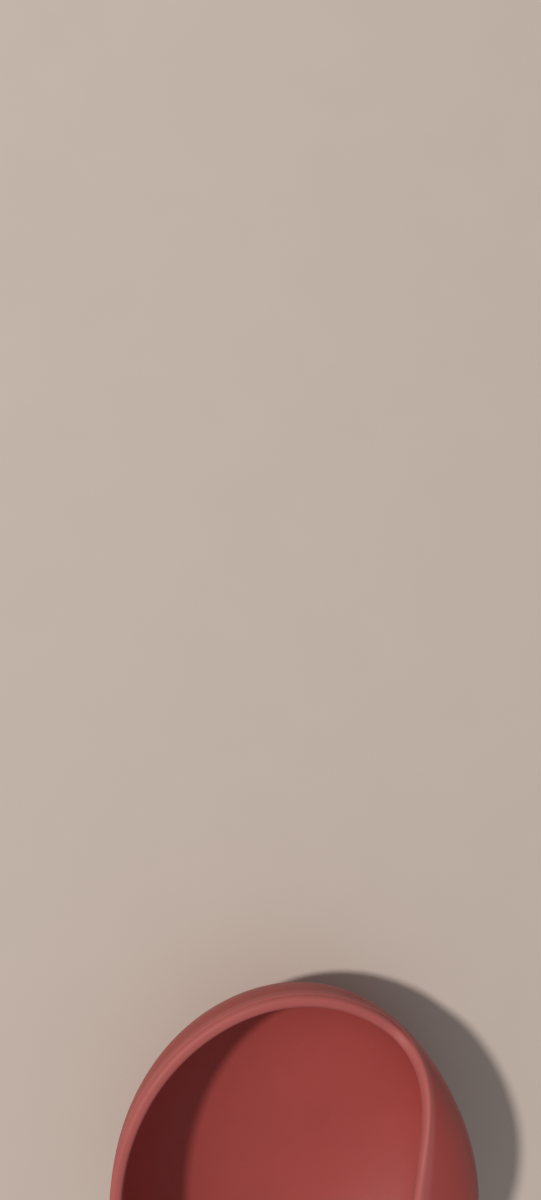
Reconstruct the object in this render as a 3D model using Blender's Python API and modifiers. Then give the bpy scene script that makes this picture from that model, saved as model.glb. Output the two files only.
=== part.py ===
"""A baby's suction bowl, in metres with +Z up.

The bowl is one thick silicone moulding: slightly oval and ball-like, with a level rounded rim
that rises on one side and curls inwards into a scoop lip. A suction cup sits in a pocket in its
foot: a hub, a bending skirt, a flat sealing lip and a release tab. The origin is on the bowl's
axis in the plane of the table. +X points to the scoop lip and -X to the release tab.
"""

import math

import bmesh
import bpy
from mathutils import Vector

# The bowl's outside
HALF_WIDTH = 0.0615           # axis to the widest point, towards the scoop lip
HALF_LENGTH = 0.0635          # the same, square to the lip
SHOULDER_FLATNESS = 0.022     # share of the radius that the oval loses beside the lip
WIDEST_Z = 0.0400
DOME_RISE = 0.0300            # where the upper wall would close, above the widest line
DOME_POWER = 3.0              # roundness of the upper wall; 2 is an ellipse
LOWER_POWER = 2.2             # roundness of the lower wall

# The rim's outer edge: nearly level, and cut along a shallow arc at the scoop lip
FRONT_EDGE_Z = 0.0413         # where the level rim would be without the lip
BACK_EDGE_Z = 0.0450          # opposite the lip
LIP_REACH = 0.0344            # axis to the lip's edge, seen from above
LIP_BOW = 2.2                 # that edge moves outwards by this times y squared
LIP_CORNER_POWER = 11.0       # tightness of the corner between lip and level rim
CORNER_SPREAD = math.radians(2.4)   # between the heights averaged to soften the corners
RIM_ROUND = 0.0023            # how far the rim's rounded end stands past the wall
RIM_POWER = 2.5               # above 2, the rim's top is slightly flat

# The bowl's inside
WALL = 0.0042
FLOOR_Z = 0.0085
INNER_POWER = 2.4             # roundness of the bend from wall to floor

# The foot, with the pocket that holds the suction cup's hub
FOOT_RADIUS = 0.0410
FOOT_Z = 0.0048
FOOT_TOP_Z = 0.0090
FOOT_EDGE_ROUND = 0.0015
POCKET_RADIUS = 0.0303
POCKET_DEPTH = 0.0010

# The suction cup
GAP = 0.0003                  # between neighbouring pieces
HUB_RADIUS = 0.0325
HUB_EDGE_Z = 0.0026
HUB_CENTRE_Z = 0.0034
SKIRT_OUTER = 0.0384
SKIRT_OUTER_LOW_Z = 0.0006
SKIRT_OUTER_HIGH_Z = 0.0019
LIP_RING_OUTER = 0.0432
LIP_RING_INNER_TOP_Z = 0.0019
LIP_RING_OUTER_TOP_Z = 0.0012
LIP_RING_CHAMFER = 0.0004

# The release tab, which lifts about a line along Y
TAB_HINGE_X = -0.04335
TAB_TIP_X = -0.0570
TAB_HALF_WIDTH = 0.0075
TAB_CORNER = 0.0050
TAB_LOW_Z = 0.0003
TAB_THICKNESS = 0.0016
RIB_COUNT = 3
RIB_PITCH = 0.0026
RIB_RADIUS = 0.0006
RIB_HALF_LENGTH = 0.0045
FIRST_RIB_FROM_TIP = 0.0032

# Fineness of the surfaces
BOWL_SIDES = 80
CUP_SIDES = 48
WALL_STEPS = 6
RIM_STEPS = 6
FLOOR_STEPS = 9

# Colour of the silicone, as linear RGB
ROSE = (0.37, 0.065, 0.056, 1.0)
SOFT_TOUCH = 0.55


def clear_scene():
    """Remove every object of the scene that the file opens with."""
    for item in list(bpy.data.objects):
        bpy.data.objects.remove(item, do_unlink=True)


def new_collection(name):
    """A collection linked to the scene."""
    collection = bpy.data.collections.new(name)
    bpy.context.scene.collection.children.link(collection)
    return collection


def silicone(name, roughness=SOFT_TOUCH):
    """Matte, soft-touch silicone in dusty rose."""
    material = bpy.data.materials.new(name)
    material.use_nodes = True
    shader = material.node_tree.nodes["Principled BSDF"]
    shader.inputs["Base Color"].default_value = ROSE
    shader.inputs["Roughness"].default_value = roughness
    shader.inputs["Metallic"].default_value = 0.0
    material.diffuse_color = ROSE
    return material


def place(name, mesh, collection, material):
    """An object for a mesh, with its material, in the part's collection."""
    piece = bpy.data.objects.new(name, mesh)
    mesh.materials.append(material)
    collection.objects.link(piece)
    return piece


def smooth(mesh, sharp_angle=math.radians(40.0)):
    """Shade a round piece smooth, with its real edges kept sharp."""
    mesh.shade_smooth()
    mesh.set_sharp_from_angle(angle=sharp_angle)


# The bowl

def widest_radius(azimuth):
    """Distance from the axis to the widest line: an oval, a little flatter beside the lip."""
    across = HALF_LENGTH * math.cos(azimuth)
    along = HALF_WIDTH * math.sin(azimuth)
    oval = HALF_WIDTH * HALF_LENGTH / math.hypot(across, along)
    near_lip = (1.0 + math.cos(azimuth)) / 2.0
    return oval * (1.0 - SHOULDER_FLATNESS * near_lip * math.sin(2.0 * azimuth) ** 2)


def lip_distance(azimuth):
    """Distance from the axis to the arc that cuts the lip, or None behind the axis."""
    cos, sin = math.cos(azimuth), math.sin(azimuth)
    if cos <= 0.0:
        return None
    root = cos * cos - 4.0 * LIP_BOW * LIP_REACH * sin * sin
    if root <= 0.0:
        return None
    return 2.0 * LIP_REACH / (cos + math.sqrt(root))


def cut_height(azimuth):
    """Height of the cut through the wall, where the level rim and the lip's arc meet."""
    turn = (1.0 - math.cos(azimuth)) / 2.0
    level = FRONT_EDGE_Z + (BACK_EDGE_Z - FRONT_EDGE_Z) * turn
    rise = (level - WIDEST_Z) / DOME_RISE
    level_share = (1.0 - rise ** DOME_POWER) ** (1.0 / DOME_POWER)
    total = level_share ** -LIP_CORNER_POWER
    distance = lip_distance(azimuth)
    if distance is not None:
        total += (widest_radius(azimuth) / distance) ** LIP_CORNER_POWER
    share = total ** (-1.0 / LIP_CORNER_POWER)
    return WIDEST_Z + DOME_RISE * (1.0 - share ** DOME_POWER) ** (1.0 / DOME_POWER)


def rim_edge_height(azimuth):
    """Height of the rim's outer edge: the cut, softened along the rim at the lip's corners."""
    weights = (1.0, 4.0, 6.0, 4.0, 1.0)
    total = 0.0
    for index, weight in enumerate(weights):
        total += weight * cut_height(azimuth + (index - 2) * CORNER_SPREAD)
    return total / sum(weights)


def power_arc(angle, reach, height, power):
    """A point on a rounded quarter: angle 0 is (reach, 0) and a quarter turn is (0, height)."""
    along = max(math.cos(angle), 0.0) ** (2.0 / power)
    up = max(math.sin(angle), 0.0) ** (2.0 / power)
    return reach * along, height * up


def foot_points():
    """The underside from the pocket's centre to the top of the foot's upright side."""
    pocket_z = FOOT_Z + POCKET_DEPTH
    points = [(0.0, pocket_z), (POCKET_RADIUS, pocket_z), (POCKET_RADIUS, FOOT_Z)]
    centre_r = FOOT_RADIUS - FOOT_EDGE_ROUND
    centre_z = FOOT_Z + FOOT_EDGE_ROUND
    for turn in (0.0, 30.0, 60.0, 90.0):
        angle = math.radians(turn)
        radius = centre_r + FOOT_EDGE_ROUND * math.sin(angle)
        points.append((radius, centre_z - FOOT_EDGE_ROUND * math.cos(angle)))
    return points


def lower_wall_points(reach):
    """The outer wall from the foot's top up to the widest line."""
    ratio = FOOT_RADIUS / reach
    share = (1.0 - ratio ** LOWER_POWER) ** (1.0 / LOWER_POWER)
    depth = (WIDEST_Z - FOOT_TOP_Z) / share
    foot_angle = math.acos(ratio ** (LOWER_POWER / 2.0))
    points = []
    for step in range(WALL_STEPS):
        angle = foot_angle * (1.0 - step / WALL_STEPS)
        radius, drop = power_arc(angle, reach, depth, LOWER_POWER)
        points.append((radius, WIDEST_Z - drop))
    return points


def upper_wall(reach, edge_z):
    """Points and outward directions on the outer wall, from the widest line to the rim."""
    share = (edge_z - WIDEST_Z) / DOME_RISE
    edge_angle = math.asin(share ** (DOME_POWER / 2.0))
    points = []
    outward = []
    for step in range(WALL_STEPS + 1):
        angle = edge_angle * step / WALL_STEPS
        radius, rise = power_arc(angle, reach, DOME_RISE, DOME_POWER)
        points.append(Vector((radius, WIDEST_Z + rise)))
        slope_r = radius ** (DOME_POWER - 1.0) / reach ** DOME_POWER
        slope_z = rise ** (DOME_POWER - 1.0) / DOME_RISE ** DOME_POWER
        outward.append(Vector((slope_r, slope_z)).normalized())
    return points, outward


def rim_points(edge, outward):
    """The rounded end of the wall, from its outer edge over to its inner edge."""
    centre = edge - outward * (WALL / 2.0)
    onward = Vector((-outward.y, outward.x))
    points = []
    for step in range(1, RIM_STEPS):
        angle = math.pi * step / RIM_STEPS
        side = math.copysign(abs(math.cos(angle)) ** (2.0 / RIM_POWER), math.cos(angle))
        end = math.sin(angle) ** (2.0 / RIM_POWER)
        points.append(centre + outward * (side * WALL / 2.0) + onward * (end * RIM_ROUND))
    return points


def inner_lower_points(reach):
    """The inside from the widest line down to the middle of the floor."""
    depth = WIDEST_Z - FLOOR_Z
    points = []
    for step in range(1, FLOOR_STEPS + 1):
        angle = math.pi / 2.0 * step / FLOOR_STEPS
        radius, drop = power_arc(angle, reach - WALL, depth, INNER_POWER)
        points.append((radius, WIDEST_Z - drop))
    return points


def bowl_section(azimuth):
    """The wall's outline at one azimuth, from the underside's centre to the floor's centre."""
    reach = widest_radius(azimuth)
    outer, outward = upper_wall(reach, rim_edge_height(azimuth))
    inner = [point - side * WALL for point, side in zip(outer, outward)]
    section = foot_points() + lower_wall_points(reach)
    section += [tuple(point) for point in outer]
    section += [tuple(point) for point in rim_points(outer[-1], outward[-1])]
    section += [tuple(point) for point in reversed(inner)]
    return section + inner_lower_points(reach)


def make_bowl(collection):
    """The bowl, lofted through its sections, which differ all round because of the lip."""
    bm = bmesh.new()
    columns = []
    for side in range(BOWL_SIDES):
        azimuth = 2.0 * math.pi * side / BOWL_SIDES
        cos, sin = math.cos(azimuth), math.sin(azimuth)
        section = bowl_section(azimuth)
        columns.append([bm.verts.new((r * cos, r * sin, z)) for r, z in section[1:-1]])
    under_centre = bm.verts.new((0.0, 0.0, section[0][1]))
    floor_centre = bm.verts.new((0.0, 0.0, section[-1][1]))
    for side, column in enumerate(columns):
        following = columns[(side + 1) % BOWL_SIDES]
        bm.faces.new((under_centre, following[0], column[0]))
        bm.faces.new((floor_centre, column[-1], following[-1]))
        for row in range(len(column) - 1):
            bm.faces.new((column[row], following[row], following[row + 1], column[row + 1]))
    bmesh.ops.recalc_face_normals(bm, faces=bm.faces)
    mesh = bpy.data.meshes.new("bowl_body")
    bm.to_mesh(mesh)
    bm.free()
    smooth(mesh)
    return place("bowl_body", mesh, collection, silicone("bowl_silicone"))


# The suction cup

def turned(name, profile, closed, collection, material):
    """A turned piece: a profile at +X that runs down its outer side, swept about Z."""
    edges = [(index, index + 1) for index in range(len(profile) - 1)]
    if closed:
        edges.append((len(profile) - 1, 0))
    mesh = bpy.data.meshes.new(name)
    mesh.from_pydata([(r, 0.0, z) for r, z in profile], edges, [])
    piece = place(name, mesh, collection, material)
    screw = piece.modifiers.new("turn", "SCREW")
    screw.axis = "Z"
    screw.angle = 2.0 * math.pi
    screw.steps = CUP_SIDES
    screw.render_steps = CUP_SIDES
    screw.use_merge_vertices = True
    screw.merge_threshold = 0.00005
    screw.use_smooth_shade = True
    return piece


def hub_profile():
    """A disc with a boss for the bowl's pocket and a slightly domed underside."""
    flange_top = FOOT_Z - GAP
    boss_top = FOOT_Z + POCKET_DEPTH - GAP
    boss_radius = POCKET_RADIUS - GAP
    points = [(0.0, boss_top), (boss_radius, boss_top), (boss_radius, flange_top)]
    points += [(HUB_RADIUS, flange_top), (HUB_RADIUS, HUB_EDGE_Z)]
    steps = 4
    for step in range(1, steps + 1):
        share = 1.0 - step / steps
        rise = (HUB_CENTRE_Z - HUB_EDGE_Z) * (1.0 - share * share)
        points.append((HUB_RADIUS * share, HUB_EDGE_Z + rise))
    return points


def skirt_profile():
    """The sloping web between the hub and the sealing lip, thinner than both."""
    inner = HUB_RADIUS + GAP
    middle = (inner + SKIRT_OUTER) / 2.0
    high = FOOT_Z - 2.0 * GAP
    middle_high = (high + SKIRT_OUTER_HIGH_Z) / 2.0 + GAP
    middle_low = (HUB_EDGE_Z + SKIRT_OUTER_LOW_Z) / 2.0 + GAP
    return [
        (inner, high),
        (middle, middle_high),
        (SKIRT_OUTER, SKIRT_OUTER_HIGH_Z),
        (SKIRT_OUTER, SKIRT_OUTER_LOW_Z),
        (middle, middle_low),
        (inner, HUB_EDGE_Z),
    ]


def lip_ring_profile():
    """The flat ring that seals on the table, tapering to its outer edge."""
    inner = SKIRT_OUTER + GAP
    return [
        (inner, LIP_RING_INNER_TOP_Z),
        (LIP_RING_OUTER - LIP_RING_CHAMFER, LIP_RING_OUTER_TOP_Z),
        (LIP_RING_OUTER, LIP_RING_OUTER_TOP_Z - LIP_RING_CHAMFER),
        (LIP_RING_OUTER, LIP_RING_CHAMFER),
        (LIP_RING_OUTER - LIP_RING_CHAMFER, 0.0),
        (inner + LIP_RING_CHAMFER, 0.0),
        (inner, LIP_RING_CHAMFER),
    ]


# The release tab

def tab_outline(tip_x, hinge_x, corner_steps=5):
    """The tab seen from above: square at the hinge, with two rounded corners at the tip."""
    points = [(hinge_x, -TAB_HALF_WIDTH), (hinge_x, TAB_HALF_WIDTH)]
    for side in (1.0, -1.0):
        arc = []
        for step in range(corner_steps + 1):
            angle = math.pi / 2.0 * step / corner_steps
            x = tip_x + TAB_CORNER * (1.0 - math.sin(angle))
            y = side * (TAB_HALF_WIDTH - TAB_CORNER * (1.0 - math.cos(angle)))
            arc.append((x, y))
        points += arc if side > 0.0 else arc[::-1]
    return points


def make_tab(collection):
    """The release tab: a flat outline with finger ribs across its top, turning on its origin."""
    root_x = TAB_HINGE_X - GAP / 2.0
    middle_z = TAB_LOW_Z + TAB_THICKNESS / 2.0
    curve = bpy.data.curves.new("release_tab_outline", "CURVE")
    curve.dimensions = "2D"
    curve.fill_mode = "BOTH"
    curve.extrude = TAB_THICKNESS / 2.0
    outline = tab_outline(TAB_TIP_X - TAB_HINGE_X, root_x - TAB_HINGE_X)
    spline = curve.splines.new("POLY")
    spline.points.add(len(outline) - 1)
    for point, (x, y) in zip(spline.points, outline):
        point.co = (x, y, 0.0, 1.0)
    spline.use_cyclic_u = True
    flat = bpy.data.objects.new("release_tab_outline", curve)
    collection.objects.link(flat)
    bpy.context.view_layer.update()
    depsgraph = bpy.context.evaluated_depsgraph_get()
    mesh = bpy.data.meshes.new_from_object(flat.evaluated_get(depsgraph))
    bpy.data.objects.remove(flat, do_unlink=True)
    bm = bmesh.new()
    bm.from_mesh(mesh)
    bmesh.ops.remove_doubles(bm, verts=bm.verts, dist=0.00001)
    bmesh.ops.recalc_face_normals(bm, faces=bm.faces)
    bm.to_mesh(mesh)
    bm.free()
    mesh.name = "release_tab"
    tab = place("release_tab", mesh, collection, silicone("tab_silicone"))
    tab.location = (TAB_HINGE_X, 0.0, middle_z)
    return tab


def make_ribs(tab, joined_shapes):
    """Finger ribs, joined into the top of the tab."""
    top_z = TAB_LOW_Z + TAB_THICKNESS
    for index in range(RIB_COUNT):
        mesh = bpy.data.meshes.new(f"rib_{index + 1}")
        bm = bmesh.new()
        bmesh.ops.create_cone(bm, cap_ends=True, segments=12, radius1=RIB_RADIUS,
                              radius2=RIB_RADIUS, depth=2.0 * RIB_HALF_LENGTH)
        bm.to_mesh(mesh)
        bm.free()
        rib = bpy.data.objects.new(f"rib_{index + 1}", mesh)
        joined_shapes.objects.link(rib)
        rib.location = (TAB_TIP_X + FIRST_RIB_FROM_TIP + index * RIB_PITCH, 0.0, top_z)
        rib.rotation_euler = (math.pi / 2.0, math.radians(15.0), 0.0)
        rib.hide_render = True
        rib.display_type = "WIRE"
        join = tab.modifiers.new(rib.name, "BOOLEAN")
        join.operation = "UNION"
        join.solver = "EXACT"
        join.object = rib


def main():
    clear_scene()
    parts = new_collection("suction_bowl")
    joined_shapes = new_collection("suction_bowl_joined_shapes")
    make_bowl(parts)
    turned("suction_hub", hub_profile(), False, parts, silicone("hub_silicone"))
    turned("suction_skirt", skirt_profile(), True, parts, silicone("skirt_silicone"))
    turned("sealing_lip", lip_ring_profile(), True, parts, silicone("lip_silicone"))
    make_ribs(make_tab(parts), joined_shapes)


main()
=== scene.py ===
"""The looks of the suction bowl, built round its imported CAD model, in metres with +Z up.

The bowl, the hub, the bending skirt with its sealing lip, and the release tab are each made again
as a fine, rounded surface inside the CAD piece that they replace, in soft-touch silicone.
"""

import math

import bmesh
import bpy
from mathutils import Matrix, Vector


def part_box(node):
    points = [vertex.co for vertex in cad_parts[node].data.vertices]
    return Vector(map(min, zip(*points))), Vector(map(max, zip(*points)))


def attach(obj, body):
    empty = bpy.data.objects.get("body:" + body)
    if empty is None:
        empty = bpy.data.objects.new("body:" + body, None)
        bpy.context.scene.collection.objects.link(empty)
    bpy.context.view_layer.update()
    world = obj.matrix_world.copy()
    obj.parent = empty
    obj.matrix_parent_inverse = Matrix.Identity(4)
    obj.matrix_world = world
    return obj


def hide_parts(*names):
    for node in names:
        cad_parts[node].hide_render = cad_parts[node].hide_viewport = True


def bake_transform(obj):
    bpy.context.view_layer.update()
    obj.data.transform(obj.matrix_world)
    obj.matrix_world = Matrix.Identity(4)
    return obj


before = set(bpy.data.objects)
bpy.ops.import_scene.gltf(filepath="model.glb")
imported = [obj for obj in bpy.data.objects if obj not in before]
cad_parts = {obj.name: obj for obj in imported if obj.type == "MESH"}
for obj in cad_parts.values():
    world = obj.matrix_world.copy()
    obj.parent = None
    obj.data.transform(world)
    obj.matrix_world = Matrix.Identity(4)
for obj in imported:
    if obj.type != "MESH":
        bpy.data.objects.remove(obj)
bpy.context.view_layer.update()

# The bowl's outside, as in the CAD model
BOWL_LOW, BOWL_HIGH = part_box("bowl_body")
HALF_WIDTH = BOWL_HIGH.x
HALF_LENGTH = BOWL_HIGH.y
SHOULDER_FLATNESS = 0.022     # share of the radius that the oval loses beside the lip
WIDEST_Z = 0.0400
DOME_RISE = 0.0299            # a hair less than in the CAD model, whose lip is faceted
DOME_POWER = 3.0              # roundness of the upper wall; 2 is an ellipse
LOWER_POWER = 2.2             # roundness of the lower wall

# The rim's outer edge and the scoop lip
FRONT_EDGE_Z = 0.0413         # where the level rim would be without the lip
BACK_EDGE_Z = 0.0450          # opposite the lip
LIP_REACH = 0.0344            # axis to the lip's edge, seen from above
LIP_BOW = 2.2                 # that edge moves outwards by this times y squared
LIP_CORNER_POWER = 11.0       # tightness of the corner between lip and level rim
CORNER_SPREAD = math.radians(2.4)   # between the heights averaged to soften the corners
RIM_ROUND = 0.0023            # how far the rim's rounded end stands past the wall
RIM_POWER = 2.9               # above 2, the rim's top is slightly flat
LIP_POWER = 2.1               # the same along the scoop lip, which is rounder

# The bowl's inside
WALL = 0.0042
FLOOR_Z = 0.0085
INNER_POWER = 2.4             # roundness of the bend from wall to floor

# The foot and its pocket
FOOT_RADIUS = 0.0410
FOOT_Z = BOWL_LOW.z
FOOT_TOP_Z = 0.0090
FOOT_EDGE_ROUND = 0.0015
FOOT_FILLET = 0.0010          # how far below the foot's top its side starts to flare
POCKET_RADIUS = 0.0303
POCKET_DEPTH = 0.0010
POCKET_ROUND = 0.0003
POCKET_ROWS = (0.0, 0.15, 0.4, 0.7, 0.95)   # shares of the pocket's radius

# The parting line: a fine step along the level rim's outer edge, where the mould's halves met.
# RIDGE_SHAPE holds shares of the ridge's width and of its height.
RIDGE_WIDTH = 0.00034
RIDGE_HEIGHT = 0.00002
RIDGE_SHAPE = ((-0.75, 0.6), (-0.5, 1.0), (-0.2, 1.0), (-0.05, 0.6))
RIM_INSET = 0.00028           # how far the rim's rounded end stands back behind the ridge
RIDGE_FADES = 0.0035          # how far above BACK_EDGE_Z it has died out into the lip

# The suction cup
HUB_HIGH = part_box("suction_hub")[1]
RING_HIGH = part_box("sealing_lip")[1]
GAP = 0.0003                  # between the hub and the foot
HUB_EDGE_Z = 0.0026
HUB_CENTRE_Z = 0.0034
HUB_MARGIN = 0.0012           # flat ring outside the hub's domed underside
HUB_ROUND = 0.0003
HUB_STEP_ROUND = 0.0002
HUB_LOW_ROUND = 0.0006
GATE_MARK_RADIUS = 0.0016     # the moulding mark in the middle of the underside
GATE_MARK_DEPTH = 0.00025
GATE_MARK_TAPER = 0.8
SKIRT_ROOT_DEPTH = 0.0010     # how far the skirt's root reaches into the hub
SKIRT_ROOT_HIGH_Z = 0.0041
SKIRT_ROOT_LOW_Z = 0.0028
SKIRT_OUTER = 0.0384
RING_INNER_TOP_Z = 0.0020
RING_OUTER_TOP_Z = 0.0012
RING_INNER_LOW_Z = 0.0009

# The release tab
TAB_LOW, TAB_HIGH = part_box("release_tab")
TAB_HINGE_X = -0.04335
TAB_ROOT_X = -0.0426
TAB_CORNER = 0.0050
TAB_THICKNESS = 0.0016
TAB_EDGE_ROUND = 0.0006
HINGE_THICKNESS = 0.0009
HINGE_SPAN = 0.0022           # over which the tab gets its full thickness
RIB_COUNT = 3
RIB_PITCH = 0.0026
RIB_RADIUS = TAB_HIGH.z - TAB_LOW.z - TAB_THICKNESS
RIB_HALF_LENGTH = 0.0045
RIB_SPREAD = 1.7              # a rib's half width, in its own heights
FIRST_RIB_FROM_TIP = 0.0032

# Fineness of the surfaces
BOWL_SIDES = 320
CUP_SIDES = 256
WALL_STEPS = 30
RIM_STEPS = 22
FLOOR_STEPS = 40
HUB_STEPS = 24
FOOT_STEPS = 8
FILLET_STEPS = 6
TAB_SIDE_STEPS = 36
TAB_LENGTH_STEPS = 80
TAB_SIDE_EDGE = (0.09, 0.06, 0.035, 0.018, 0.007, 0.0015, 0.0)
TAB_TIP_EDGE = (0.050, 0.034, 0.020, 0.010, 0.004, 0.001, 0.0)

# The silicone's colour and surface; noise scales are in features per metre
ROSE = (0.368, 0.060, 0.053, 1.0)
RIM_PAINTED_LIGHT_SATURATION = 0.91         # painted light: the rim is made lighter and a little less saturated than the walls, for the light its top catches
RIM_PAINTED_LIGHT_VALUE = 1.15
MOTTLE_SCALE = 45.0
HANDLED_SCALE = 120.0
WAVE_SCALE = 260.0
WAVE_DEPTH = 0.00004
GRAIN_SCALE = 5200.0
GRAIN_DEPTH = 0.00002
SPECULAR = 0.36
SHEEN_ROUGHNESS = 0.45
SHEEN_TINT = (1.0, 0.86, 0.82, 1.0)

# The camera, close above the bowl's +Y side and looking nearly straight down
CAMERA_PLACE = (-0.0604, 0.1693, 0.3180)
CAMERA_TURN = (4.711, -6.325, 7.079)
CAMERA_LENS = 23.45
SENSOR = 36.0

# The studio
KEY_PLACE = (-2.00, 0.62, 2.86)
KEY_SIZE = 0.26
KEY_POWER = 85.0
KEY_COLOUR = (1.0, 0.955, 0.90)
AMBIENT = (0.97, 0.985, 1.0)
HORIZON_STRENGTH = 0.15
OVERHEAD_STRENGTH = 0.38
FLOOR_COLOUR = (0.60, 0.515, 0.46, 1.0)
FLOOR_RADIUS = 2.5
FLOOR_CLOUD_SCALE = 30.0
FLOOR_DROP = 0.00002          # keeps the floor clear of the seal's underside


# The bowl's shape

def ease(value):
    """A smooth step from 0 to 1."""
    value = min(max(value, 0.0), 1.0)
    return value * value * (3.0 - 2.0 * value)


def widest_radius(azimuth):
    """Distance from the axis to the widest line: an oval, a little flatter beside the lip."""
    across = HALF_LENGTH * math.cos(azimuth)
    along = HALF_WIDTH * math.sin(azimuth)
    oval = HALF_WIDTH * HALF_LENGTH / math.hypot(across, along)
    near_lip = (1.0 + math.cos(azimuth)) / 2.0
    return oval * (1.0 - SHOULDER_FLATNESS * near_lip * math.sin(2.0 * azimuth) ** 2)


def lip_distance(azimuth):
    """Distance from the axis to the arc that cuts the lip, or None behind the axis."""
    cos, sin = math.cos(azimuth), math.sin(azimuth)
    if cos <= 0.0:
        return None
    root = cos * cos - 4.0 * LIP_BOW * LIP_REACH * sin * sin
    if root <= 0.0:
        return None
    return 2.0 * LIP_REACH / (cos + math.sqrt(root))


def dome_radius(reach, height):
    """Radius of the upper outer wall at a height above the widest line."""
    return reach * (1.0 - (height / DOME_RISE) ** DOME_POWER) ** (1.0 / DOME_POWER)


def cut_height(azimuth):
    """Height of the cut through the wall, where the level rim and the lip's arc meet."""
    turn = (1.0 - math.cos(azimuth)) / 2.0
    level = FRONT_EDGE_Z + (BACK_EDGE_Z - FRONT_EDGE_Z) * turn
    level_share = dome_radius(1.0, level - WIDEST_Z)
    total = level_share ** -LIP_CORNER_POWER
    distance = lip_distance(azimuth)
    if distance is not None:
        total += (widest_radius(azimuth) / distance) ** LIP_CORNER_POWER
    share = total ** (-1.0 / LIP_CORNER_POWER)
    return WIDEST_Z + DOME_RISE * (1.0 - share ** DOME_POWER) ** (1.0 / DOME_POWER)


def rim_edge_height(azimuth):
    """Height of the rim's outer edge: the cut, softened along the rim at the lip's corners."""
    weights = (1.0, 4.0, 6.0, 4.0, 1.0)
    total = 0.0
    for index, weight in enumerate(weights):
        total += weight * cut_height(azimuth + (index - 2) * CORNER_SPREAD)
    return total / sum(weights)


def power_arc(angle, reach, height, power):
    """A point on a rounded quarter: angle 0 is (reach, 0) and a quarter turn is (0, height)."""
    along = max(math.cos(angle), 0.0) ** (2.0 / power)
    up = max(math.sin(angle), 0.0) ** (2.0 / power)
    return reach * along, height * up


def round_corner(before, corner, after, radius, steps):
    """Points on the arc of that radius that takes a corner off an outline."""
    back = (before - corner).normalized()
    onward = (after - corner).normalized()
    half = back.angle(onward) / 2.0
    centre = corner + (back + onward).normalized() * (radius / math.sin(half))
    start = (corner + back * (radius / math.tan(half)) - centre).normalized()
    end = (corner + onward * (radius / math.tan(half)) - centre).normalized()
    return [centre + start.slerp(end, step / steps) * radius for step in range(steps + 1)]


def rounded_outline(corners, closed, steps=6):
    """An outline through corners given as (radius, height, rounding)."""
    places = [Vector((r, z)) for r, z, rounding in corners]
    points = []
    for index, (r, z, rounding) in enumerate(corners):
        at_end = not closed and index in (0, len(corners) - 1)
        if at_end or rounding == 0.0:
            points.append(places[index])
            continue
        before = places[index - 1]
        after = places[(index + 1) % len(places)]
        points += round_corner(before, places[index], after, rounding, steps)
    return points


def curve_between(start, control, end, steps):
    """Points inside a quadratic curve from start to end."""
    points = []
    for step in range(1, steps):
        t = step / steps
        points.append(start * (1 - t) ** 2 + control * 2 * t * (1 - t) + end * t ** 2)
    return points


def foot_rows():
    """The underside: the pocket for the hub, the foot's flat ring and its upright side."""
    pocket_z = FOOT_Z + POCKET_DEPTH
    flat = [Vector((POCKET_RADIUS * share, pocket_z)) for share in POCKET_ROWS]
    corners = [
        (flat[-1].x, pocket_z, 0.0),
        (POCKET_RADIUS, pocket_z, POCKET_ROUND),
        (POCKET_RADIUS, FOOT_Z, POCKET_ROUND),
        (FOOT_RADIUS, FOOT_Z, FOOT_EDGE_ROUND),
        (FOOT_RADIUS, FOOT_TOP_Z - FOOT_FILLET, 0.0),
    ]
    return flat + rounded_outline(corners, closed=False, steps=FOOT_STEPS)[1:]


def lower_wall_rows(reach):
    """The outer wall up to the widest line, with a fillet where it leaves the foot."""
    ratio = FOOT_RADIUS / reach
    depth = (WIDEST_Z - FOOT_TOP_Z) / (1.0 - ratio ** LOWER_POWER) ** (1.0 / LOWER_POWER)
    foot_angle = math.acos(ratio ** (LOWER_POWER / 2.0))
    rows = []
    for step in range(2, WALL_STEPS):
        angle = foot_angle * (1.0 - step / WALL_STEPS)
        radius, drop = power_arc(angle, reach, depth, LOWER_POWER)
        rows.append(Vector((radius, WIDEST_Z - drop)))
    below = Vector((FOOT_RADIUS, FOOT_TOP_Z - FOOT_FILLET))
    corner = Vector((FOOT_RADIUS, FOOT_TOP_Z))
    return curve_between(below, corner, rows[0], steps=FILLET_STEPS) + rows


def outward_at(point, reach):
    """The outward direction on the upper outer wall."""
    slope_r = point.x ** (DOME_POWER - 1.0) / reach ** DOME_POWER
    slope_z = max(point.y - WIDEST_Z, 0.0) ** (DOME_POWER - 1.0) / DOME_RISE ** DOME_POWER
    return Vector((slope_r, slope_z)).normalized()


def upper_wall_rows(reach, edge_z, span):
    """The upper outer wall from the widest line to a distance below the rim's outer edge."""
    edge = Vector((dome_radius(reach, edge_z - WIDEST_Z), edge_z))
    outward = outward_at(edge, reach)
    stop_share = (edge_z - span * outward.x - WIDEST_Z) / DOME_RISE
    stop_angle = math.asin(stop_share ** (DOME_POWER / 2.0))
    rows = []
    for step in range(WALL_STEPS + 1):
        angle = stop_angle * step / WALL_STEPS
        radius, rise = power_arc(angle, reach, DOME_RISE, DOME_POWER)
        rows.append(Vector((radius, WIDEST_Z + rise)))
    return rows, edge, outward


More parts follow.
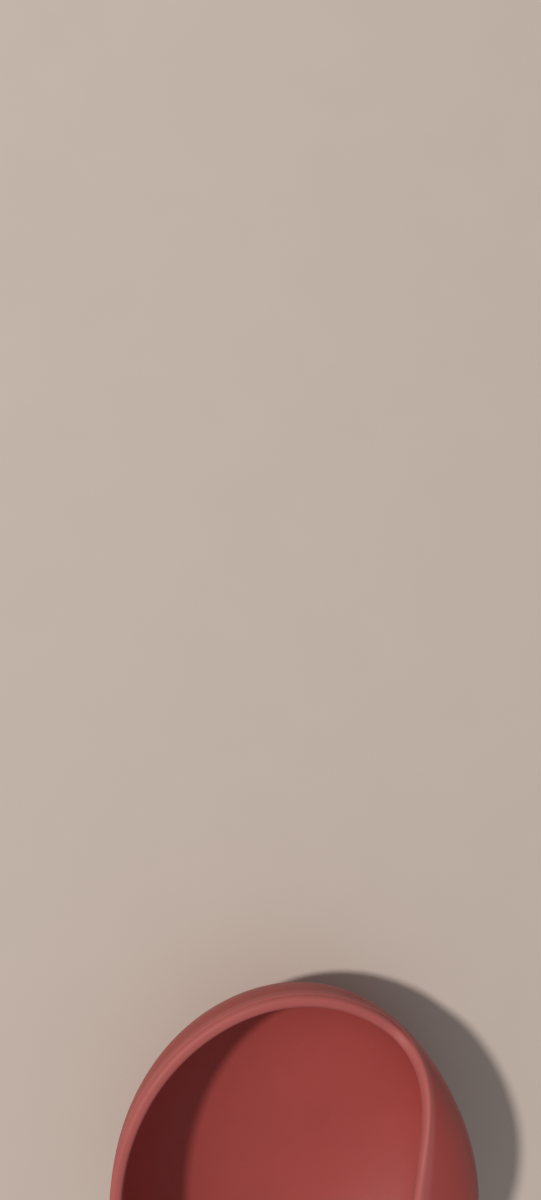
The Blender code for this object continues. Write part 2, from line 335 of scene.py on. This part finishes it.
def rim_rows(edge, outward):
    """The parting ridge and the wall's rounded end, over to the inner edge."""
    onward = Vector((-outward.y, outward.x))
    fade = ease(1.0 - (edge.y - BACK_EDGE_Z) / RIDGE_FADES)
    rows = []
    for share, lift in RIDGE_SHAPE:
        lifted = outward * (lift * fade * RIDGE_HEIGHT)
        rows.append(edge + onward * (share * RIDGE_WIDTH) + lifted)
    half = (WALL - RIM_INSET * fade) / 2.0
    centre = edge - outward * (WALL - half)
    power = LIP_POWER + (RIM_POWER - LIP_POWER) * fade
    for step in range(RIM_STEPS):
        angle = math.pi * step / RIM_STEPS
        side = math.copysign(abs(math.cos(angle)) ** (2.0 / power), math.cos(angle))
        end = math.sin(angle) ** (2.0 / power)
        rows.append(centre + outward * (side * half) + onward * (end * RIM_ROUND))
    return rows


def inner_rows(outer, reach):
    """The inside: an even wall down to the widest line, then a rounded bowl to the floor."""
    rows = [point - outward_at(point, reach) * WALL for point in reversed(outer)]
    for step in range(1, FLOOR_STEPS + 1):
        angle = math.pi / 2.0 * step / FLOOR_STEPS
        radius, drop = power_arc(angle, reach - WALL, WIDEST_Z - FLOOR_Z, INNER_POWER)
        rows.append(Vector((radius, WIDEST_Z - drop)))
    return rows


def bowl_section(azimuth):
    """The wall's outline at one azimuth, from the underside's centre to the floor's centre."""
    reach = widest_radius(azimuth)
    outer, edge, outward = upper_wall_rows(reach, rim_edge_height(azimuth), RIDGE_WIDTH)
    rows = foot_rows() + lower_wall_rows(reach) + outer
    return rows + rim_rows(edge, outward) + inner_rows(outer, reach)


# The suction cup's shapes

def hub_outline():
    """The hub, from the middle of its top over its edge to the mark in its domed underside."""
    flange_top = FOOT_Z - GAP
    boss_radius = POCKET_RADIUS - GAP
    dome_edge = HUB_HIGH.x - HUB_MARGIN
    corners = [
        (0.0, HUB_HIGH.z, 0.0),
        (boss_radius, HUB_HIGH.z, HUB_ROUND),
        (boss_radius, flange_top, HUB_STEP_ROUND),
        (HUB_HIGH.x, flange_top, HUB_ROUND),
        (HUB_HIGH.x, HUB_EDGE_Z, HUB_LOW_ROUND),
        (dome_edge, HUB_EDGE_Z, 0.0),
    ]
    points = rounded_outline(corners, closed=False)[:-1]
    for step in range(1, HUB_STEPS + 1):
        share = 1.0 - step / HUB_STEPS
        radius = dome_edge * share
        height = HUB_EDGE_Z + (HUB_CENTRE_Z - HUB_EDGE_Z) * (1.0 - share * share)
        if radius > GATE_MARK_RADIUS:
            points.append(Vector((radius, height)))
    mark_top = HUB_CENTRE_Z + GATE_MARK_DEPTH
    points.append(Vector((GATE_MARK_RADIUS, HUB_CENTRE_Z)))
    points.append(Vector((GATE_MARK_RADIUS * GATE_MARK_TAPER, mark_top)))
    points.append(Vector((0.0, mark_top)))
    return points


def skirt_outline():
    """The bending skirt and the flat sealing lip as one thin moulding, rooted in the hub."""
    root = HUB_HIGH.x - SKIRT_ROOT_DEPTH
    corners = [
        (root, SKIRT_ROOT_HIGH_Z, 0.0),
        (HUB_HIGH.x + 0.0007, SKIRT_ROOT_HIGH_Z, 0.0012),
        (SKIRT_OUTER - 0.0001, RING_INNER_TOP_Z, 0.0030),
        (RING_HIGH.x, RING_OUTER_TOP_Z, 0.0003),
        (RING_HIGH.x, 0.0, 0.0005),
        (SKIRT_OUTER + 0.0007, 0.0, 0.0004),
        (SKIRT_OUTER - 0.0008, RING_INNER_LOW_Z, 0.0014),
        (HUB_HIGH.x + 0.0004, SKIRT_ROOT_LOW_Z, 0.0014),
        (root, SKIRT_ROOT_LOW_Z, 0.0),
    ]
    return rounded_outline(corners, closed=True)


def new_object(name, bm):
    """A smooth-shaded object from a finished bmesh."""
    bmesh.ops.recalc_face_normals(bm, faces=bm.faces)
    mesh = bpy.data.meshes.new(name)
    bm.to_mesh(mesh)
    bm.free()
    mesh.shade_smooth()
    piece = bpy.data.objects.new(name, mesh)
    bpy.context.scene.collection.objects.link(piece)
    return piece


def loft(name, section, sides, closed):
    """A closed surface through sections round the Z axis; open ones start and end on the axis."""
    bm = bmesh.new()
    columns = []
    for side in range(sides):
        azimuth = 2.0 * math.pi * side / sides
        cos, sin = math.cos(azimuth), math.sin(azimuth)
        points = section(azimuth)
        ring = points if closed else points[1:-1]
        columns.append([bm.verts.new((p.x * cos, p.x * sin, p.y)) for p in ring])
    for side, column in enumerate(columns):
        following = columns[(side + 1) % sides]
        rows = len(column) if closed else len(column) - 1
        for row in range(rows):
            up = (row + 1) % len(column)
            bm.faces.new((column[row], following[row], following[up], column[up]))
    if not closed:
        for end, row in ((points[0], 0), (points[-1], -1)):
            pole = bm.verts.new((0.0, 0.0, end.y))
            for side, column in enumerate(columns):
                bm.faces.new((pole, columns[(side + 1) % sides][row], column[row]))
    return new_object(name, bm)


# The release tab's shape

def tab_tip_x(y):
    """Where the tab ends at a distance from its middle line: its corners are round."""
    into_corner = max(abs(y) - (TAB_HIGH.y - TAB_CORNER), 0.0)
    return TAB_LOW.x + TAB_CORNER - math.sqrt(TAB_CORNER ** 2 - into_corner ** 2)


def tab_edge_distance(x, y):
    """How far inside its outline a point of the tab is; the root side doesn't count."""
    across = abs(y) - (TAB_HIGH.y - TAB_CORNER)
    along = (TAB_LOW.x + TAB_CORNER) - x
    outside = math.hypot(max(across, 0.0), max(along, 0.0))
    return TAB_CORNER - outside - min(max(across, along), 0.0)


def tab_half_thickness(x, y):
    """Half the tab's thickness: thin at its living hinge and rounded along its edges."""
    full = ease((TAB_HINGE_X - x) / HINGE_SPAN)
    half = (HINGE_THICKNESS + (TAB_THICKNESS - HINGE_THICKNESS) * full) / 2.0
    rounding = min(TAB_EDGE_ROUND, half * 0.95)
    short = max(rounding - tab_edge_distance(x, y), 0.0)
    return half - rounding + math.sqrt(max(rounding ** 2 - short ** 2, 0.0))


def rib_height(x, y):
    """How far the finger ribs stand above the tab at a point, as soft ridges with round ends."""
    height = 0.0
    for index in range(RIB_COUNT):
        rib_x = TAB_LOW.x + FIRST_RIB_FROM_TIP + index * RIB_PITCH
        away = math.hypot(x - rib_x, max(abs(y) - RIB_HALF_LENGTH, 0.0))
        height = max(height, RIB_RADIUS * ease(1.0 - away / (RIB_SPREAD * RIB_RADIUS)))
    return height


def even_and_edge(count, edge_shares):
    """Even steps from 0 to 1 with finer ones at the end, where the edge is rounded."""
    limit = 1.0 - edge_shares[0]
    return [limit * step / count for step in range(count)] + [1.0 - s for s in edge_shares]


def make_tab():
    """The release tab, in one closed piece from its root in the sealing lip to its tip."""
    middle_z = TAB_LOW.z + TAB_THICKNESS / 2.0
    root_drop = middle_z - TAB_LOW.z - HINGE_THICKNESS / 2.0
    half_side = even_and_edge(TAB_SIDE_STEPS, TAB_SIDE_EDGE)
    lines = [-share for share in reversed(half_side[1:])] + half_side
    rows = even_and_edge(TAB_LENGTH_STEPS, TAB_TIP_EDGE)
    bm = bmesh.new()
    tops = []
    lows = []
    for line in lines:
        y = line * TAB_HIGH.y
        tip_x = tab_tip_x(y)
        top = []
        low = []
        for row in rows:
            x = TAB_ROOT_X + (tip_x - TAB_ROOT_X) * row
            half = tab_half_thickness(x, y)
            centre_z = middle_z - root_drop * (1.0 - ease((TAB_HINGE_X - x) / HINGE_SPAN))
            top.append(bm.verts.new((x, y, centre_z + half + rib_height(x, y))))
            low.append(bm.verts.new((x, y, centre_z - half)))
        tops.append(top)
        lows.append(low)
    for sheet in (tops, lows):
        for line in range(len(sheet) - 1):
            for row in range(len(rows) - 1):
                bm.faces.new((sheet[line][row], sheet[line + 1][row],
                              sheet[line + 1][row + 1], sheet[line][row + 1]))
    top_edge = tops[0] + [column[-1] for column in tops[1:-1]] + tops[-1][::-1]
    top_edge += [column[0] for column in tops[-2:0:-1]]
    low_edge = lows[0] + [column[-1] for column in lows[1:-1]] + lows[-1][::-1]
    low_edge += [column[0] for column in lows[-2:0:-1]]
    for index in range(len(top_edge)):
        onward = (index + 1) % len(top_edge)
        bm.faces.new((top_edge[index], top_edge[onward], low_edge[onward], low_edge[index]))
    return new_object("release_tab_moulding", bm)


# Materials

def node(tree, kind, **values):
    """A shader node with some of its sockets set."""
    made = tree.nodes.new(kind)
    for name, value in values.items():
        made.inputs[name.replace("_", " ")].default_value = value
    return made


def noise(tree, place, scale, detail=3.0, roughness=0.55):
    """Noise with a given number of features per metre, in the row frame."""
    made = node(tree, "ShaderNodeTexNoise", Scale=scale, Detail=detail, Roughness=roughness)
    tree.links.new(place.outputs["Object"], made.inputs["Vector"])
    return made.outputs["Fac"]


def spread(tree, value, low, high):
    """Noise stretched to a range."""
    made = node(tree, "ShaderNodeMapRange", From_Min=0.3, From_Max=0.7, To_Min=low, To_Max=high)
    tree.links.new(value, made.inputs["Value"])
    return made.outputs["Result"]


def colour_ramp(tree, value, stops):
    """Colours along a value."""
    made = tree.nodes.new("ShaderNodeValToRGB")
    while len(made.color_ramp.elements) < len(stops):
        made.color_ramp.elements.new(0.5)
    for element, (position, colour) in zip(made.color_ramp.elements, stops):
        element.position = position
        element.color = colour
    tree.links.new(value, made.inputs["Fac"])
    return made.outputs["Color"]


def bump(tree, height, distance, strength, below=None):
    """A bump, on top of the one below it."""
    made = node(tree, "ShaderNodeBump", Distance=distance, Strength=strength)
    tree.links.new(height, made.inputs["Height"])
    if below is not None:
        tree.links.new(below, made.inputs["Normal"])
    return made.outputs["Normal"]


def shade(colour, factor):
    """A colour made lighter or darker."""
    return (*[min(channel * factor, 1.0) for channel in colour[:3]], 1.0)


def silicone(name, colour, roughness, sheen):
    """Moulded soft-touch silicone: a fine matte grain, faint mottling and painted light that
    lightens the rim.
    """
    material = bpy.data.materials.new(name)
    material.use_nodes = True
    material.diffuse_color = colour
    tree = material.node_tree
    shader = tree.nodes["Principled BSDF"]
    place = tree.nodes.new("ShaderNodeTexCoord")
    mottle = noise(tree, place, MOTTLE_SCALE, detail=4.0)
    stops = ((0.30, shade(colour, 0.955)), (0.52, colour), (0.72, shade(colour, 1.035)))
    # painted light: the rim is lightened, standing in for the soft light and highlight its
    # rounded top catches
    rim = tree.nodes.new("ShaderNodeAttribute")
    rim.attribute_name = "rim_painted_light_share"
    painted_rim_light = node(tree, "ShaderNodeHueSaturation", Saturation=RIM_PAINTED_LIGHT_SATURATION, Value=RIM_PAINTED_LIGHT_VALUE)
    tree.links.new(rim.outputs["Fac"], painted_rim_light.inputs["Fac"])
    tree.links.new(colour_ramp(tree, mottle, stops), painted_rim_light.inputs["Color"])
    tree.links.new(painted_rim_light.outputs["Color"], shader.inputs["Base Color"])
    handled = noise(tree, place, HANDLED_SCALE, detail=5.0)
    finish = spread(tree, handled, roughness - 0.04, roughness + 0.05)
    tree.links.new(finish, shader.inputs["Roughness"])
    wave = bump(tree, noise(tree, place, WAVE_SCALE, detail=2.0), WAVE_DEPTH, 0.5)
    fine = noise(tree, place, GRAIN_SCALE, detail=2.0)
    grain = bump(tree, fine, GRAIN_DEPTH, 0.6, below=wave)
    tree.links.new(grain, shader.inputs["Normal"])
    shader.inputs["Specular IOR Level"].default_value = SPECULAR
    shader.inputs["Sheen Weight"].default_value = sheen
    shader.inputs["Sheen Roughness"].default_value = SHEEN_ROUGHNESS
    shader.inputs["Sheen Tint"].default_value = SHEEN_TINT
    return material


def floor_material():
    """A plain, pale, matte studio surface."""
    material = bpy.data.materials.new("studio_floor")
    material.use_nodes = True
    tree = material.node_tree
    shader = tree.nodes["Principled BSDF"]
    place = tree.nodes.new("ShaderNodeTexCoord")
    cloud = noise(tree, place, FLOOR_CLOUD_SCALE, detail=4.0)
    stops = ((0.35, shade(FLOOR_COLOUR, 0.985)), (0.65, FLOOR_COLOUR))
    tree.links.new(colour_ramp(tree, cloud, stops), shader.inputs["Base Color"])
    shader.inputs["Roughness"].default_value = 0.85
    shader.inputs["Specular IOR Level"].default_value = 0.2
    return material


# The studio

def make_camera():
    """The camera, looking down over the bowl's +Y side."""
    data = bpy.data.cameras.new("camera")
    data.lens = CAMERA_LENS
    data.sensor_width = SENSOR
    data.clip_start = 0.01
    camera = bpy.data.objects.new("camera", data)
    camera.location = CAMERA_PLACE
    camera.rotation_euler = [math.radians(angle) for angle in CAMERA_TURN]
    bpy.context.scene.collection.objects.link(camera)
    bpy.context.scene.camera = camera


def make_key_light():
    """A soft key light, high on the release tab's side."""
    data = bpy.data.lights.new("key_light", "AREA")
    data.shape = "DISK"
    data.size = KEY_SIZE
    data.energy = KEY_POWER
    data.color = KEY_COLOUR
    key = bpy.data.objects.new("key_light", data)
    key.location = KEY_PLACE
    key.rotation_euler = (-Vector(KEY_PLACE)).to_track_quat("-Z", "Y").to_euler()
    bpy.context.scene.collection.objects.link(key)


def make_surround():
    """A pale surround, brightest overhead."""
    world = bpy.data.worlds.new("studio")
    world.use_nodes = True
    background = world.node_tree.nodes["Background"]
    background.inputs["Color"].default_value = (*AMBIENT, 1.0)
    tree = world.node_tree
    direction = tree.nodes.new("ShaderNodeTexCoord")
    axes = tree.nodes.new("ShaderNodeSeparateXYZ")
    strength = node(tree, "ShaderNodeMapRange", To_Min=HORIZON_STRENGTH, To_Max=OVERHEAD_STRENGTH)
    tree.links.new(direction.outputs["Generated"], axes.inputs["Vector"])
    tree.links.new(axes.outputs["Z"], strength.inputs["Value"])
    tree.links.new(strength.outputs["Result"], background.inputs["Strength"])
    bpy.context.scene.world = world
    bpy.context.scene.view_settings.view_transform = "Standard"


def make_floor():
    """The surface that the bowl stands on."""
    bm = bmesh.new()
    bmesh.ops.create_circle(bm, cap_ends=True, segments=96, radius=FLOOR_RADIUS)
    floor = new_object("studio_floor", bm)
    floor.location.z = -FLOOR_DROP
    floor.data.materials.append(floor_material())


# The object

def mark_rim_painted_light(bowl):
    """Store on each point of the bowl how near it is to the middle of the rounded rim, where
    painted light lightens it.
    """
    mark = bowl.data.attributes.new("rim_painted_light_share", "FLOAT", "POINT")
    for vertex, stored in zip(bowl.data.vertices, mark.data):
        azimuth = math.atan2(vertex.co.y, vertex.co.x)
        reach = widest_radius(azimuth)
        edge_z = rim_edge_height(azimuth)
        edge = Vector((dome_radius(reach, edge_z - WIDEST_Z), edge_z))
        middle = edge - outward_at(edge, reach) * (WALL / 2.0)
        away = (Vector((math.hypot(vertex.co.x, vertex.co.y), vertex.co.z)) - middle).length
        stored.value = ease(2.0 - away / (WALL / 2.0))


def make_bowl(material):
    """The bowl, with its rounded rim and scoop lip."""
    bowl = loft("bowl_moulding", bowl_section, BOWL_SIDES, closed=False)
    # where the rim's painted light goes
    mark_rim_painted_light(bowl)
    bowl.data.materials.append(material)
    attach(bowl, "bowl")
    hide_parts("bowl_body")


def make_cup(material):
    """The suction cup: its hub, and the skirt with its sealing lip."""
    hub_section = hub_outline()
    hub = loft("suction_hub_moulding", lambda azimuth: hub_section, CUP_SIDES, closed=False)
    hub.data.materials.append(material)
    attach(hub, "bowl")
    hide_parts("suction_hub")
    skirt_section = skirt_outline()
    skirt = loft("suction_skirt_and_lip", lambda azimuth: skirt_section, CUP_SIDES, closed=True)
    skirt.data.materials.append(material)
    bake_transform(skirt)
    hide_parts("suction_skirt", "sealing_lip")


def make_release_tab(material):
    """The release tab, which bends along its living hinge."""
    tab = make_tab()
    tab.data.materials.append(material)
    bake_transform(tab)
    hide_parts("release_tab")


def main():
    make_camera()
    make_key_light()
    make_surround()
    make_floor()
    make_bowl(silicone("bowl_silicone", ROSE, roughness=0.58, sheen=0.06))
    make_cup(silicone("cup_silicone", shade(ROSE, 0.97), roughness=0.42, sheen=0.15))
    make_release_tab(silicone("tab_silicone", ROSE, roughness=0.58, sheen=0.12))


main()
